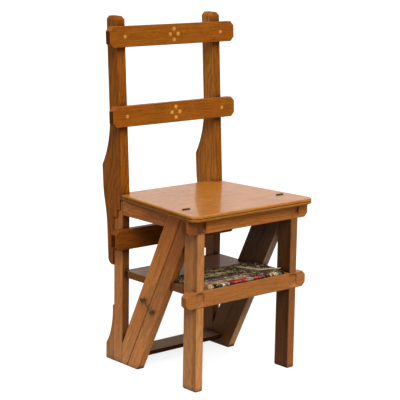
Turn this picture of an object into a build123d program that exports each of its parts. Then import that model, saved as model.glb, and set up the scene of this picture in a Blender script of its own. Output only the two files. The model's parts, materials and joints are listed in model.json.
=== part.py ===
from build123d import *
import os
from math import atan, cos, hypot, sin

# Oak library chair whose rear half turns over forwards to make a set of steps.
# X runs across the chair, Y from front to back and Z up; lengths are in mm.

# Overall
total_height = 900.0
frame_inner_x = 145.0
leg_front_y = -176.5
frame_depth = 295.5
stock_thickness = 23.0
front_leg_depth = 49.0
rear_leg_depth = 35.5
arris = 1.0
foot_arris = 3.0

# Seat and fold: a seam in the seat, and a sloping split below it
seat_thickness = 15.0
fold_gap = 0.3
seam_setback = 9.0
split_gap = 0.5
split_foot_setback = 20.7
front_diagonal_depth = 43.0
rear_diagonal_foot_depth = 47.0
rear_diagonal_top_depth = 53.0
seat_rail_depth = 38.7

# Stepped lap between rear leg and back post
lap_step_one = 9.5
lap_step_two = 19.5
lap_drop_one = 26.7
lap_drop_two = 47.7

# Foot block behind the rear leg
foot_block_height = 150.0
foot_block_ledge = 6.0
foot_block_depth = 33.0
foot_block_toe_height = 43.0
foot_block_bend_depth = 3.0
foot_block_bend_height = 111.0
foot_block_heel_depth = 15.0
foot_block_heel_height = 63.0

# Back posts, measured from the front of the rear legs and from the fold axis
post_thickness = 26.0
post_width = 42.0
post_rake_run = 26.0
post_top_chamfer_width = 5.5
post_top_chamfer_height = 9.0
sweep_top_rise = 195.0
wing_tip_depth = 83.6
wing_tip_rise = 67.0
wing_foot_depth = 79.8
wing_foot_rise = 14.0
wing_tip_radius = 5.0
tail_top_depth = 62.9
tail_top_drop = 84.0
tail_foot_run = 6.4
tail_foot_drop = 191.0
tail_foot_radius = 17.0

# Rails on the posts and rear legs
back_rail_thickness = 17.5
back_rail_depth = 53.0
back_rail_chamfer = 11.0
top_rail_share = 0.8872
top_rail_overhang = 35.0
middle_rail_share = 0.4428
middle_rail_overhang = 32.0
lower_rail_overhang = 36.0
lower_rail_drop = 73.2

# Pegs and inlay
peg_radius = 4.75
peg_length = 30.0
peg_inset = 13.4
dot_radius = 5.25
dot_depth = 3.0
dot_spread_x = 13.0
dot_spread_z = 13.5

# Seat boards
seat_nosing = 26.0
seat_front_overhang = 38.0
seat_rear_overhang = 3.5
seat_back_reach = 16.5
seat_corner_radius = 24.0
seat_edge_radius = 4.5
seat_groove_height = 2.0
seat_groove_depth = 1.6

# Apron and middle front rail
front_rail_thickness = 19.0
apron_depth = 37.2
apron_inset = 3.5
front_rail_share = 0.5866
front_rail_depth = 41.0
front_rail_overhang = 33.0
front_rail_chamfer = 10.0
scoop_spread = 2.0
scoop_margin = 3.0
scoop_depth = 5.5
scoop_rim_radius = 20.0
scoop_floor_radius = 13.0

# Shelf boards and bottom tread
shelf_housing = 13.0
shelf_thickness = 19.0
shelf_step = 5.0
bottom_tread_height = 17.0
bottom_tread_thickness = 14.0
bottom_tread_reach = 28.5

# Carpet
carpet_thickness = 5.0
carpet_fold_thickness = 9.5
carpet_fold_depth = 17.0
carpet_fold_radius = 4.0
carpet_side_gap = 2.5
carpet_taper_width = 14.5
carpet_taper_depth = 26.0
carpet_split_gap = 1.5

# Seat hinges
hinge_inset = 12.0
hinge_width = 22.0
knuckle_radius = 2.75
knuckle_count = 3
knuckle_gap = 0.2
pin_radius = 1.4
turning_clearance = 0.08
leaf_thickness = 1.5
leaf_bottom_margin = 1.8
leaf_tab_lap = 1.4
knuckle_slot_depth = 3.1
knuckle_slot_gap = 0.6

# Side hooks, of eight-sided wire with flattened rings
wire_faces = 8
hook_wire_radius = 1.9
hook_stand_off = 6.5
hook_height_share = 0.385
hook_pivot_setback = 23.5
hook_arm_run = 34.5
hook_arm_rise = 30.5
hook_tip_run = 6.0
hook_tip_drop = 12.5
hook_elbow_radius = 3.6
pivot_shank_radius = 1.7
pivot_collar_radius = 3.4
pivot_head_radius = 3.9
pivot_head_height = 2.2
pivot_side_gap = 0.15
eye_ring_radius = 4.8
eye_wire_radius = 1.15
eye_shank_radius = 1.4
eye_drop = 6.0
screw_eye_depth = 12.0
pilot_gap = 0.05

# Places worked out from the sizes above
SIDES = (("left", -1), ("right", 1))
fold_axis_z = total_height / 2
seat_top_z = fold_axis_z - fold_gap
seat_bottom_z = seat_top_z - seat_thickness
frame_outer_x = frame_inner_x + stock_thickness
leg_rear_y = leg_front_y + front_leg_depth
rear_leg_front_y = leg_front_y + frame_depth
rear_leg_rear_y = rear_leg_front_y + rear_leg_depth
seam_y = leg_rear_y + seam_setback
split_foot_y = rear_leg_front_y - split_foot_setback
half_gap = split_gap / 2
step_one_y = rear_leg_front_y + lap_step_one
step_two_y = rear_leg_front_y + lap_step_two
shoulder_one_z = seat_bottom_z - lap_drop_one
shoulder_two_z = seat_bottom_z - lap_drop_two
seat_rail_bottom_z = seat_bottom_z - seat_rail_depth
seat_front_y = leg_front_y - seat_nosing
seat_front_half = frame_outer_x + seat_front_overhang
seat_rear_half = frame_outer_x + seat_rear_overhang
apron_bottom_z = seat_bottom_z - apron_depth
front_rail_rear_y = leg_front_y + front_rail_thickness
front_rail_top_z = front_rail_share * seat_bottom_z
front_rail_bottom_z = front_rail_top_z - front_rail_depth
front_tread_bottom_z = front_rail_top_z - shelf_thickness
rear_shelf_top_z = front_rail_top_z - shelf_step
rear_shelf_bottom_z = rear_shelf_top_z - shelf_thickness
bottom_tread_top_z = bottom_tread_height + bottom_tread_thickness
shelf_half = frame_inner_x + shelf_housing
hinge_x = frame_inner_x + hinge_inset
peg_x = frame_inner_x + peg_inset
scoop_x = frame_inner_x + stock_thickness / 2
rake = atan(post_rake_run / (total_height - fold_axis_z))
post_height = (total_height - fold_axis_z) / cos(rake)
front_plane = Plane.XZ.offset(-leg_front_y)
leg_plane = Plane.XZ.offset(-rear_leg_front_y)
rake_plane = Plane((0, rear_leg_front_y, fold_axis_z), x_dir=(1, 0, 0), z_dir=(0, -cos(rake), sin(rake)))

os.makedirs("parts", exist_ok=True)


def split_y(z):
    """Y of the middle of the split at a height."""
    return split_foot_y + (seam_y - split_foot_y) * z / seat_bottom_z


def front_edge_y(z):
    """Y of the front edge of the front diagonal at a height."""
    return split_y(z) - front_diagonal_depth


def rear_edge_y(z):
    """Y of the rear edge of the rear diagonal at a height."""
    widening = rear_diagonal_top_depth - rear_diagonal_foot_depth
    return split_y(z) + rear_diagonal_foot_depth + widening * z / seat_bottom_z


def height_at(edge, y):
    """Height at which a straight sloping edge reaches a Y."""
    return seat_bottom_z * (y - edge(0)) / (edge(seat_bottom_z) - edge(0))


def post_y(z):
    """Y of the raked front edge of a back post at a height."""
    return rear_leg_front_y + post_rake_run * (z - fold_axis_z) / (total_height - fold_axis_z)


def save(piece, name):
    """Label a piece and write its file."""
    piece.part.label = name
    export_step(piece.part, f"parts/{name}.step")


def slab(side, start_x, end_x, outline):
    """Flat member cut to a side outline, between two distances from the middle."""
    with BuildPart() as member:
        with BuildSketch(Plane.YZ.offset(side * start_x)):
            with BuildLine():
                Polyline(*outline, close=True)
            make_face()
        extrude(amount=side * (end_x - start_x))
    return member.part


def ease_sides(piece, lowest=0, highest=total_height):
    """Take the sharp arrises off both broad sides of a member, between two heights."""
    broad = piece.faces().filter_by(Axis.X)
    for level in (0, -1):
        around = broad.sort_by(Axis.X)[level].edges()
        chamfer(around.filter_by_position(Axis.Z, lowest, highest), arris)


# Front legs, notched for the apron and the middle rail
for name, side in SIDES:
    with BuildPart() as front_leg:
        blank = slab(
            side,
            frame_inner_x,
            frame_outer_x,
            (
                (leg_front_y, 0),
                (leg_rear_y, 0),
                (leg_rear_y, seat_bottom_z),
                (front_rail_rear_y, seat_bottom_z),
                (front_rail_rear_y, apron_bottom_z),
                (leg_front_y, apron_bottom_z),
                (leg_front_y, front_rail_top_z),
                (front_rail_rear_y, front_rail_top_z),
                (front_rail_rear_y, front_rail_bottom_z),
                (leg_front_y, front_rail_bottom_z),
            ),
        )
        add(blank)
        chamfer(front_leg.faces().sort_by(Axis.Z)[0].edges(), foot_arris)
        long_edges = front_leg.edges().filter_by(Axis.Z).group_by(Axis.Y)
        chamfer(long_edges[0] + long_edges[-1], arris)
    save(front_leg, f"front_leg_{name}")

# Each sloping side member is sawn lengthwise at the split
front_meets_leg_z = height_at(front_edge_y, leg_rear_y)
rear_meets_leg_z = height_at(rear_edge_y, rear_leg_front_y)
hook_x = frame_outer_x + hook_stand_off
pivot_z = hook_height_share * seat_bottom_z
pivot_y = split_y(pivot_z) - hook_pivot_setback
elbow_y = pivot_y + hook_arm_run
elbow_z = pivot_z + hook_arm_rise
tip_length = hypot(hook_tip_run, hook_tip_drop)
eye_y = elbow_y + eye_drop * hook_tip_run / tip_length
eye_z = elbow_z - eye_drop * hook_tip_drop / tip_length

for name, side in SIDES:
    with BuildPart() as front_diagonal:
        blank = slab(
            side,
            frame_inner_x,
            frame_outer_x,
            (
                (front_edge_y(0), 0),
                (split_y(0) - half_gap, 0),
                (split_y(seat_bottom_z) - half_gap, seat_bottom_z),
                (leg_rear_y, seat_bottom_z),
                (leg_rear_y, front_meets_leg_z),
            ),
        )
        add(blank)
        ease_sides(front_diagonal)
        with Locations(Plane((side * frame_outer_x, pivot_y, pivot_z), z_dir=(side, 0, 0))):
            Hole(pivot_shank_radius + pilot_gap, depth=screw_eye_depth)
    save(front_diagonal, f"front_diagonal_{name}")

    with BuildPart() as rear_diagonal:
        blank = slab(
            side,
            frame_inner_x,
            frame_outer_x,
            (
                (split_y(0) + half_gap, 0),
                (rear_leg_front_y, 0),
                (rear_leg_front_y, rear_meets_leg_z),
                (rear_edge_y(seat_bottom_z), seat_bottom_z),
                (split_y(seat_bottom_z) + half_gap, seat_bottom_z),
            ),
        )
        add(blank)
        ease_sides(rear_diagonal)
        with Locations(Plane((side * frame_outer_x, eye_y, eye_z), z_dir=(side, 0, 0))):
            Hole(eye_shank_radius + pilot_gap, depth=screw_eye_depth)
    save(rear_diagonal, f"rear_diagonal_{name}")

# Side rails under the seat
for name, side in SIDES:
    with BuildPart() as seat_side_rail:
        blank = slab(
            side,
            frame_inner_x,
            frame_outer_x,
            (
                (rear_edge_y(seat_rail_bottom_z), seat_rail_bottom_z),
                (rear_leg_front_y, seat_rail_bottom_z),
                (rear_leg_front_y, seat_bottom_z),
                (rear_edge_y(seat_bottom_z), seat_bottom_z),
            ),
        )
        add(blank)
        ease_sides(seat_side_rail)
    save(seat_side_rail, f"seat_side_rail_{name}")

# Rear legs, whose tops step down under the back posts
for name, side in SIDES:
    with BuildPart() as rear_leg:
        blank = slab(
            side,
            frame_inner_x,
            frame_outer_x,
            (
                (rear_leg_front_y, 0),
                (rear_leg_rear_y, 0),
                (rear_leg_rear_y, shoulder_two_z),
                (step_two_y, shoulder_two_z),
                (step_two_y, shoulder_one_z),
                (step_one_y, shoulder_one_z),
                (step_one_y, seat_bottom_z),
                (rear_leg_front_y, seat_bottom_z),
            ),
        )
        add(blank)
        ease_sides(rear_leg)
    save(rear_leg, f"rear_leg_{name}")

# Foot blocks, which carry each rear foot out to the back
for name, side in SIDES:
    with BuildPart() as foot_block:
        with BuildSketch(Plane.YZ.offset(side * frame_inner_x)):
            with BuildLine():
                Polyline(
                    (rear_leg_rear_y + foot_block_depth, foot_block_toe_height),
                    (rear_leg_rear_y + foot_block_depth, 0),
                    (rear_leg_rear_y, 0),
                    (rear_leg_rear_y, foot_block_height),
                    (rear_leg_rear_y + foot_block_ledge, foot_block_height),
                )
                Bezier(
                    (rear_leg_rear_y + foot_block_ledge, foot_block_height),
                    (rear_leg_rear_y + foot_block_bend_depth, foot_block_bend_height),
                    (rear_leg_rear_y + foot_block_heel_depth, foot_block_heel_height),
                    (rear_leg_rear_y + foot_block_depth, foot_block_toe_height),
                )
            make_face()
        extrude(amount=side * stock_thickness)
        ease_sides(foot_block)
    save(foot_block, f"foot_block_{name}")

# Back posts: raked board, swept out to a wing at the seat, with a tail behind the leg
rear_offset = post_width / cos(rake)
sweep_top_z = fold_axis_z + sweep_top_rise
wing_tip = (rear_leg_front_y + wing_tip_depth, fold_axis_z + wing_tip_rise)
wing_foot = (rear_leg_front_y + wing_foot_depth, fold_axis_z + wing_foot_rise)
tail_top = (rear_leg_front_y + tail_top_depth, fold_axis_z - tail_top_drop)
tail_foot_y = tail_top[0] - tail_foot_run
tail_foot_z = fold_axis_z - tail_foot_drop
peg_heights = [share * post_height for share in (top_rail_share, middle_rail_share)]
for name, side in SIDES:
    with BuildPart() as back_post:
        with BuildSketch(Plane.YZ.offset(side * frame_inner_x)):
            with BuildLine():
                Polyline(
                    (post_y(sweep_top_z) + rear_offset, sweep_top_z),
                    (post_y(total_height) + rear_offset, total_height),
                    (post_y(total_height), total_height),
                    (rear_leg_front_y, fold_axis_z),
                    (rear_leg_front_y, seat_bottom_z),
                    (step_one_y, seat_bottom_z),
                    (step_one_y, shoulder_one_z),
                    (step_two_y, shoulder_one_z),
                    (step_two_y, shoulder_two_z),
                    (rear_leg_rear_y, shoulder_two_z),
                    (rear_leg_rear_y, tail_foot_z),
                    (tail_foot_y, tail_foot_z),
                    tail_top,
                )
                Spline(
                    tail_top,
                    wing_foot,
                    tangents=((sin(rake), cos(rake)), (sin(rake), cos(rake))),
                )
                Line(wing_foot, wing_tip)
                TangentArc(
                    (post_y(sweep_top_z) + rear_offset, sweep_top_z),
                    wing_tip,
                    tangent=(-sin(rake), -cos(rake)),
                )
            make_face()
            fillet(vertices().sort_by(Axis.X)[-1], wing_tip_radius)
            fillet(vertices().group_by(Axis.Y)[0].sort_by(Axis.X)[-1], tail_foot_radius)
        extrude(amount=side * post_thickness)
        top = back_post.faces().sort_by(Axis.Z)[-1]
        chamfer(top.edges(), post_top_chamfer_width, post_top_chamfer_height, reference=top)
        ease_sides(back_post, fold_axis_z, total_height - back_rail_depth)
        with Locations(*[rake_plane * Location((side * peg_x, height, 0)) for height in peg_heights]):
            Hole(peg_radius, depth=peg_length - back_rail_thickness)
    save(back_post, f"back_post_{name}")


def board_rail(plane, half, middle, depth, thickness, cut, cut_top=True):
    """Rail lying on a plane, its end corners cut and its front arrises eased."""
    with BuildPart() as rail:
        with BuildSketch(plane):
            with Locations((0, middle)):
                Rectangle(2 * half, depth)
            ends = vertices() if cut_top else vertices().group_by(Axis.Y)[0]
            chamfer(ends, cut)
        extrude(amount=thickness)
        chamfer(rail.faces().sort_by(Axis.Y)[0].edges(), arris)
    return rail.part


# Back rails on the front of the posts, with holes for the pegs and the inlaid dots
dot_spots = ((dot_spread_x, 0), (-dot_spread_x, 0), (0, dot_spread_z), (0, -dot_spread_z))
raked_rails = (
    ("top_back_rail", frame_outer_x + post_thickness - stock_thickness + top_rail_overhang, peg_heights[0]),
    ("middle_back_rail", frame_outer_x + post_thickness - stock_thickness + middle_rail_overhang, peg_heights[1]),
)
for name, half, height in raked_rails:
    with BuildPart() as back_rail:
        add(board_rail(rake_plane, half, height, back_rail_depth, back_rail_thickness, back_rail_chamfer))
        with Locations(*[rake_plane * Location((side * peg_x, height, back_rail_thickness)) for _, side in SIDES]):
            Hole(peg_radius, depth=back_rail_thickness)
        with Locations(*[rake_plane * Location((x, height + y, back_rail_thickness)) for x, y in dot_spots]):
            Hole(dot_radius, depth=dot_depth)
    save(back_rail, name)

# Lower back rail, on the front of the rear legs
lower_rail_half = frame_outer_x + lower_rail_overhang
lower_rail_middle = seat_bottom_z - lower_rail_drop - back_rail_depth / 2
with BuildPart() as lower_back_rail:
    add(
        board_rail(
            leg_plane,
            lower_rail_half,
            lower_rail_middle,
            back_rail_depth,
            back_rail_thickness,
            back_rail_chamfer,
        )
    )
save(lower_back_rail, "lower_back_rail")

# Pegs through the raked rails into the posts, and the inlaid dots
with BuildPart() as rail_pegs:
    for height in peg_heights:
        start = back_rail_thickness - peg_length
        with Locations(*[rake_plane * Location((side * peg_x, height, start)) for _, side in SIDES]):
            Cylinder(peg_radius, peg_length, align=(Align.CENTER, Align.CENTER, Align.MIN))
save(rail_pegs, "rail_pegs")

with BuildPart() as inlay_dots:
    for height in peg_heights:
        start = back_rail_thickness - dot_depth
        with Locations(*[rake_plane * Location((x, height + y, start)) for x, y in dot_spots]):
            Cylinder(dot_radius, dot_depth, align=(Align.CENTER, Align.CENTER, Align.MIN))
save(inlay_dots, "inlay_dots")

# Apron and middle front rail, each with a square, round-bottomed scoop where it crosses a leg
front_rails = (
    ("apron", seat_front_half - apron_inset, seat_bottom_z - apron_depth / 2, apron_depth, False),
    (
        "middle_front_rail",
        frame_outer_x + front_rail_overhang,
        front_rail_top_z - front_rail_depth / 2,
        front_rail_depth,
        True,
    ),
)
for name, half, middle, depth, cut_top in front_rails:
    with BuildPart() as scoop:
        Cone(
            scoop_rim_radius,
            scoop_floor_radius,
            scoop_depth,
            align=(Align.CENTER, Align.CENTER, Align.MIN),
        )
        Box(
            stock_thickness + 2 * scoop_spread,
            depth - 2 * scoop_margin,
            scoop_depth,
            align=(Align.CENTER, Align.CENTER, Align.MIN),
            mode=Mode.INTERSECT,
        )
    with BuildPart() as front_rail:
        add(board_rail(front_plane, half, middle, depth, -front_rail_thickness, front_rail_chamfer, cut_top))
        for _, side in SIDES:
            with Locations(Plane((side * scoop_x, leg_front_y, middle), x_dir=(1, 0, 0), z_dir=(0, 1, 0))):
                add(scoop.part, mode=Mode.SUBTRACT)
    save(front_rail, name)

# Seat boards with a reeded edge, let out for the hinge knuckles and leaves
knuckle_floor_z = seat_top_z - knuckle_slot_depth
leaf_bottom_z = seat_bottom_z + leaf_bottom_margin
groove_bottom_z = (seat_top_z + seat_bottom_z - seat_groove_height) / 2
groove_back_y = rear_leg_front_y + front_leg_depth
slot_half = knuckle_radius + knuckle_slot_gap


def seat_outline(back_y):
    """Plan outline of the seat sides and front, closed by a straight line at a Y."""
    narrowing = (seat_rear_half - seat_front_half) / (rear_leg_front_y - seat_front_y)
    back_half = seat_front_half + narrowing * (back_y - seat_front_y)
    return (
        (-seat_front_half, seat_front_y),
        (seat_front_half, seat_front_y),
        (back_half, back_y),
        (-back_half, back_y),
    )


def seat_plate(back_y, level):
    """Plan face of the seat at a height, with rounded front corners."""
    with BuildSketch(Plane.XY.offset(level)) as plate:
        with BuildLine():
            Polyline(*seat_outline(back_y), close=True)
        make_face()
        fillet(vertices().group_by(Axis.Y)[0], seat_corner_radius)
    return plate.sketch


for name, toward, kept in (("front_seat_strip", -1, Keep.TOP), ("main_seat_board", 1, Keep.BOTTOM)):
    edge_y = seam_y + toward * half_gap
    with BuildPart() as seat_board:
        extrude(seat_plate(rear_leg_front_y + seat_back_reach, seat_bottom_z), amount=seat_thickness)
        for level in (0, -1):
            around = seat_board.faces().sort_by(Axis.Z)[level].edges().sort_by(Axis.Y)
            fillet(around[:-1], seat_edge_radius)
        with BuildSketch(Plane.XY.offset(groove_bottom_z)):
            add(seat_plate(groove_back_y, 0))
            offset(amount=-seat_groove_depth, mode=Mode.SUBTRACT)
        extrude(amount=seat_groove_height, mode=Mode.SUBTRACT)
        split(bisect_by=Plane.XZ.offset(-edge_y), keep=kept)
        with BuildSketch(Plane.XY.offset(seat_bottom_z)):
            for _, side in SIDES:
                with Locations((side * (frame_inner_x + post_thickness), rear_leg_front_y + rear_leg_depth)):
                    Rectangle(2 * post_thickness, 2 * rear_leg_depth)
        extrude(amount=seat_thickness, mode=Mode.SUBTRACT)
        with BuildSketch(Plane.XY.offset(knuckle_floor_z)):
            with Locations(*[(side * hinge_x, seam_y) for _, side in SIDES]):
                Rectangle(hinge_width + 2 * knuckle_slot_gap, 2 * slot_half)
        extrude(amount=knuckle_slot_depth, mode=Mode.SUBTRACT)
        with BuildSketch(Plane.XY.offset(leaf_bottom_z)):
            with Locations(*[(side * hinge_x, edge_y + toward * leaf_thickness / 2) for _, side in SIDES]):
                Rectangle(hinge_width, leaf_thickness)
        extrude(amount=knuckle_floor_z - leaf_bottom_z, mode=Mode.SUBTRACT)
    save(seat_board, name)

# Seat hinges: the middle knuckle turns with the rear leaf, the outer two hold the pin
knuckle_pitch = hinge_width / knuckle_count
middle_knuckle = (knuckle_count - 1) / 2
for section, toward in (("front", -1), ("rear", 1)):
    edge_y = seam_y + toward * half_gap
    bore = pin_radius if section == "front" else pin_radius + turning_clearance
    for name, side in SIDES:
        with BuildPart() as hinge_leaf:
            with Locations((side * hinge_x, edge_y + toward * leaf_thickness / 2, leaf_bottom_z)):
                Box(
                    hinge_width,
                    leaf_thickness,
                    knuckle_floor_z - leaf_bottom_z,
                    align=(Align.CENTER, Align.CENTER, Align.MIN),
                )
            for number in range(knuckle_count):
                if (number % 2 == 0) == (section == "front"):
                    x = side * hinge_x + (number - middle_knuckle) * knuckle_pitch
                    with Locations((x, edge_y + toward * leaf_thickness / 2, knuckle_floor_z)):
                        Box(
                            knuckle_pitch - knuckle_gap,
                            leaf_thickness,
                            leaf_tab_lap,
                            align=(Align.CENTER, Align.CENTER, Align.MIN),
                        )
                    with Locations(Plane((x, seam_y, fold_axis_z), z_dir=(1, 0, 0))):
                        Cylinder(knuckle_radius, knuckle_pitch - knuckle_gap)
            with Locations(Plane((side * hinge_x, seam_y, fold_axis_z), z_dir=(1, 0, 0))):
                Cylinder(bore, hinge_width, mode=Mode.SUBTRACT)
        save(hinge_leaf, f"hinge_{section}_leaf_{name}")

with BuildPart() as hinge_pins:
    with Locations(*[Plane((side * hinge_x, seam_y, fold_axis_z), z_dir=(1, 0, 0)) for _, side in SIDES]):
        Cylinder(pin_radius, hinge_width - knuckle_gap)
save(hinge_pins, "hinge_pins")

# Both halves of the middle shelf, housed between the side members
with BuildPart() as rear_shelf:
    for _, side in SIDES:
        blank = slab(
            side,
            0,
            frame_inner_x,
            (
                (split_y(rear_shelf_bottom_z) + half_gap, rear_shelf_bottom_z),
                (rear_leg_front_y, rear_shelf_bottom_z),
                (rear_leg_front_y, rear_shelf_top_z),
                (split_y(rear_shelf_top_z) + half_gap, rear_shelf_top_z),
            ),
        )
        add(blank)
        blank = slab(
            side,
            frame_inner_x,
            shelf_half,
            (
                (rear_edge_y(rear_shelf_bottom_z), rear_shelf_bottom_z),
                (rear_leg_front_y, rear_shelf_bottom_z),
                (rear_leg_front_y, rear_shelf_top_z),
                (rear_edge_y(rear_shelf_top_z), rear_shelf_top_z),
            ),
        )
        add(blank)
save(rear_shelf, "rear_shelf")

with BuildPart() as front_tread:
    for _, side in SIDES:
        blank = slab(
            side,
            0,
            frame_inner_x,
            (
                (front_rail_rear_y, front_tread_bottom_z),
                (split_y(front_tread_bottom_z) - half_gap, front_tread_bottom_z),
                (split_y(front_rail_top_z) - half_gap, front_rail_top_z),
                (front_rail_rear_y, front_rail_top_z),
            ),
        )
        add(blank)
        blank = slab(
            side,
            frame_inner_x,
            shelf_half,
            (
                (leg_rear_y, front_tread_bottom_z),
                (front_edge_y(front_tread_bottom_z), front_tread_bottom_z),
                (front_edge_y(front_rail_top_z), front_rail_top_z),
                (leg_rear_y, front_rail_top_z),
            ),
        )
        add(blank)
save(front_tread, "front_tread")

# Bottom tread, between the rear diagonals and the rear legs
with BuildPart() as bottom_tread:
    for _, side in SIDES:
        blank = slab(
            side,
            0,
            frame_inner_x,
            (
                (split_y(bottom_tread_height) + half_gap, bottom_tread_height),
                (rear_leg_front_y + bottom_tread_reach, bottom_tread_height),
                (rear_leg_front_y + bottom_tread_reach, bottom_tread_top_z),
                (split_y(bottom_tread_top_z) + half_gap, bottom_tread_top_z),
            ),
        )
        add(blank)
save(bottom_tread, "bottom_tread")

# Carpet on the front half of the shelf, its front edge turned under over the rail
carpet_half = frame_inner_x - carpet_side_gap
carpet_front_half = carpet_half - carpet_taper_width
carpet_rear_y = split_y(front_rail_top_z + carpet_thickness) - carpet_split_gap
fold_top_z = front_rail_top_z + carpet_fold_thickness
with BuildPart() as carpet:
    for _, side in SIDES:
        with BuildSketch(Plane.YZ):
            with BuildLine():
                Polyline(
                    (leg_front_y, front_rail_top_z),
                    (carpet_rear_y, front_rail_top_z),
                    (carpet_rear_y, front_rail_top_z + carpet_thickness),
                    (leg_front_y + carpet_fold_depth, front_rail_top_z + carpet_thickness),
                    (leg_front_y + carpet_fold_depth, fold_top_z),
                    (leg_front_y, fold_top_z),
                    close=True,
                )
            make_face()
            fillet(vertices().group_by(Axis.X)[0], carpet_fold_radius)
            fillet(vertices().group_by(Axis.Y)[-1].sort_by(Axis.X)[-1], carpet_fold_radius)
        extrude(amount=side * carpet_half)
    with BuildSketch(Plane.XY.offset(front_rail_top_z)):
        with BuildLine():
            Polyline(
                (-carpet_front_half, leg_front_y),
                (carpet_front_half, leg_front_y),
                (carpet_half, leg_front_y + carpet_taper_depth),
                (carpet_half, carpet_rear_y),
                (-carpet_half, carpet_rear_y),
                (-carpet_half, leg_front_y + carpet_taper_depth),
                close=True,
            )
        make_face()
    extrude(amount=carpet_fold_thickness, mode=Mode.INTERSECT)
save(carpet, "carpet")

# Side hooks: each turns on a headed screw and drops into an eye across the split
hook_bore_radius = pivot_shank_radius + turning_clearance
hook_ring_radius = hook_bore_radius + hook_wire_radius
arm_length = hypot(hook_arm_run, hook_arm_rise)
arm_start_y = pivot_y + hook_arm_run * hook_ring_radius / arm_length
arm_start_z = pivot_z + hook_arm_rise * hook_ring_radius / arm_length
for name, side in SIDES:
    with BuildPart() as latch_hook:
        with BuildLine(Plane.YZ.offset(side * hook_x)) as wire:
            FilletPolyline(
                (arm_start_y, arm_start_z),
                (elbow_y, elbow_z),
                (elbow_y + hook_tip_run, elbow_z - hook_tip_drop),
                radius=hook_elbow_radius,
            )
        with BuildSketch(Plane(wire.line @ 0, x_dir=(1, 0, 0), z_dir=wire.line % 0)):
            RegularPolygon(hook_wire_radius, wire_faces)
        sweep(path=wire.line)
        with Locations(Plane((side * hook_x, pivot_y, pivot_z), z_dir=(1, 0, 0))):
            Cylinder(hook_ring_radius + hook_wire_radius, 2 * hook_wire_radius)
            Cylinder(hook_bore_radius, 2 * hook_wire_radius, mode=Mode.SUBTRACT)
    save(latch_hook, f"latch_hook_{name}")

ring_reach = hook_wire_radius + pivot_side_gap
head_start = hook_x + ring_reach
shank_start = frame_outer_x - screw_eye_depth
pivot_stages = (
    (pivot_shank_radius, shank_start, head_start),
    (pivot_collar_radius, frame_outer_x, hook_x - ring_reach),
    (pivot_head_radius, head_start, head_start + pivot_head_height),
)
with BuildPart() as hook_pivots:
    for _, side in SIDES:
        for radius, start, end in pivot_stages:
            with Locations(Plane((side * start, pivot_y, pivot_z), z_dir=(side, 0, 0))):
                Cylinder(radius, end - start, align=(Align.CENTER, Align.CENTER, Align.MIN))
save(hook_pivots, "hook_pivots")

with BuildPart() as hook_eyes:
    for _, side in SIDES:
        with Locations(Plane((side * hook_x, eye_y, eye_z), z_dir=(0, hook_tip_run, -hook_tip_drop))):
            Cylinder(eye_ring_radius + eye_wire_radius, 2 * eye_wire_radius)
            Cylinder(eye_ring_radius - eye_wire_radius, 2 * eye_wire_radius, mode=Mode.SUBTRACT)
        with Locations(Plane((side * shank_start, eye_y, eye_z), z_dir=(side, 0, 0))):
            Cylinder(
                eye_shank_radius,
                hook_x - eye_ring_radius - shank_start,
                align=(Align.CENTER, Align.CENTER, Align.MIN),
            )
save(hook_eyes, "hook_eyes")
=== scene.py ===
import json
import math
import random

import bmesh
import bpy
from mathutils import Matrix, Vector, noise


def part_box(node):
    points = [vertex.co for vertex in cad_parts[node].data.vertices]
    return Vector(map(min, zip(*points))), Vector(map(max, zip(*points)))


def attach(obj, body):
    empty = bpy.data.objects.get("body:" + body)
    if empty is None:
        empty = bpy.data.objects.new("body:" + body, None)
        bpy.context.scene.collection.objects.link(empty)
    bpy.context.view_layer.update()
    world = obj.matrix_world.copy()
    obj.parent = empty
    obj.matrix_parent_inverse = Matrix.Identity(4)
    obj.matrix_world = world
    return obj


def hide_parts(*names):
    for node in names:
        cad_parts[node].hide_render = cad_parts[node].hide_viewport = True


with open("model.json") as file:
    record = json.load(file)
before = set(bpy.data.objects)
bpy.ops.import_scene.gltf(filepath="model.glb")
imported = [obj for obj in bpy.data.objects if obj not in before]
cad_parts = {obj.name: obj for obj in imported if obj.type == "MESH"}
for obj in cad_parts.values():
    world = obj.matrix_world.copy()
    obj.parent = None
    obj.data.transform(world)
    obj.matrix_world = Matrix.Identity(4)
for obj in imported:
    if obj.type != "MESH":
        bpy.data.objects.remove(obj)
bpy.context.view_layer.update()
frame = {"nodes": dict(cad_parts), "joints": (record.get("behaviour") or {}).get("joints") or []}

X = Vector((1, 0, 0))
Y = Vector((0, 1, 0))
Z = Vector((0, 0, 1))
MM = 0.001


# Materials, put together from nodes

NODE_SAMPLES = 4
# How far the rounded normal agrees with the face where an arris begins and where it is at its strongest
ARRIS_SPAN = (0.995, 0.8)
MIDDLE_STOP = 0.5


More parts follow.
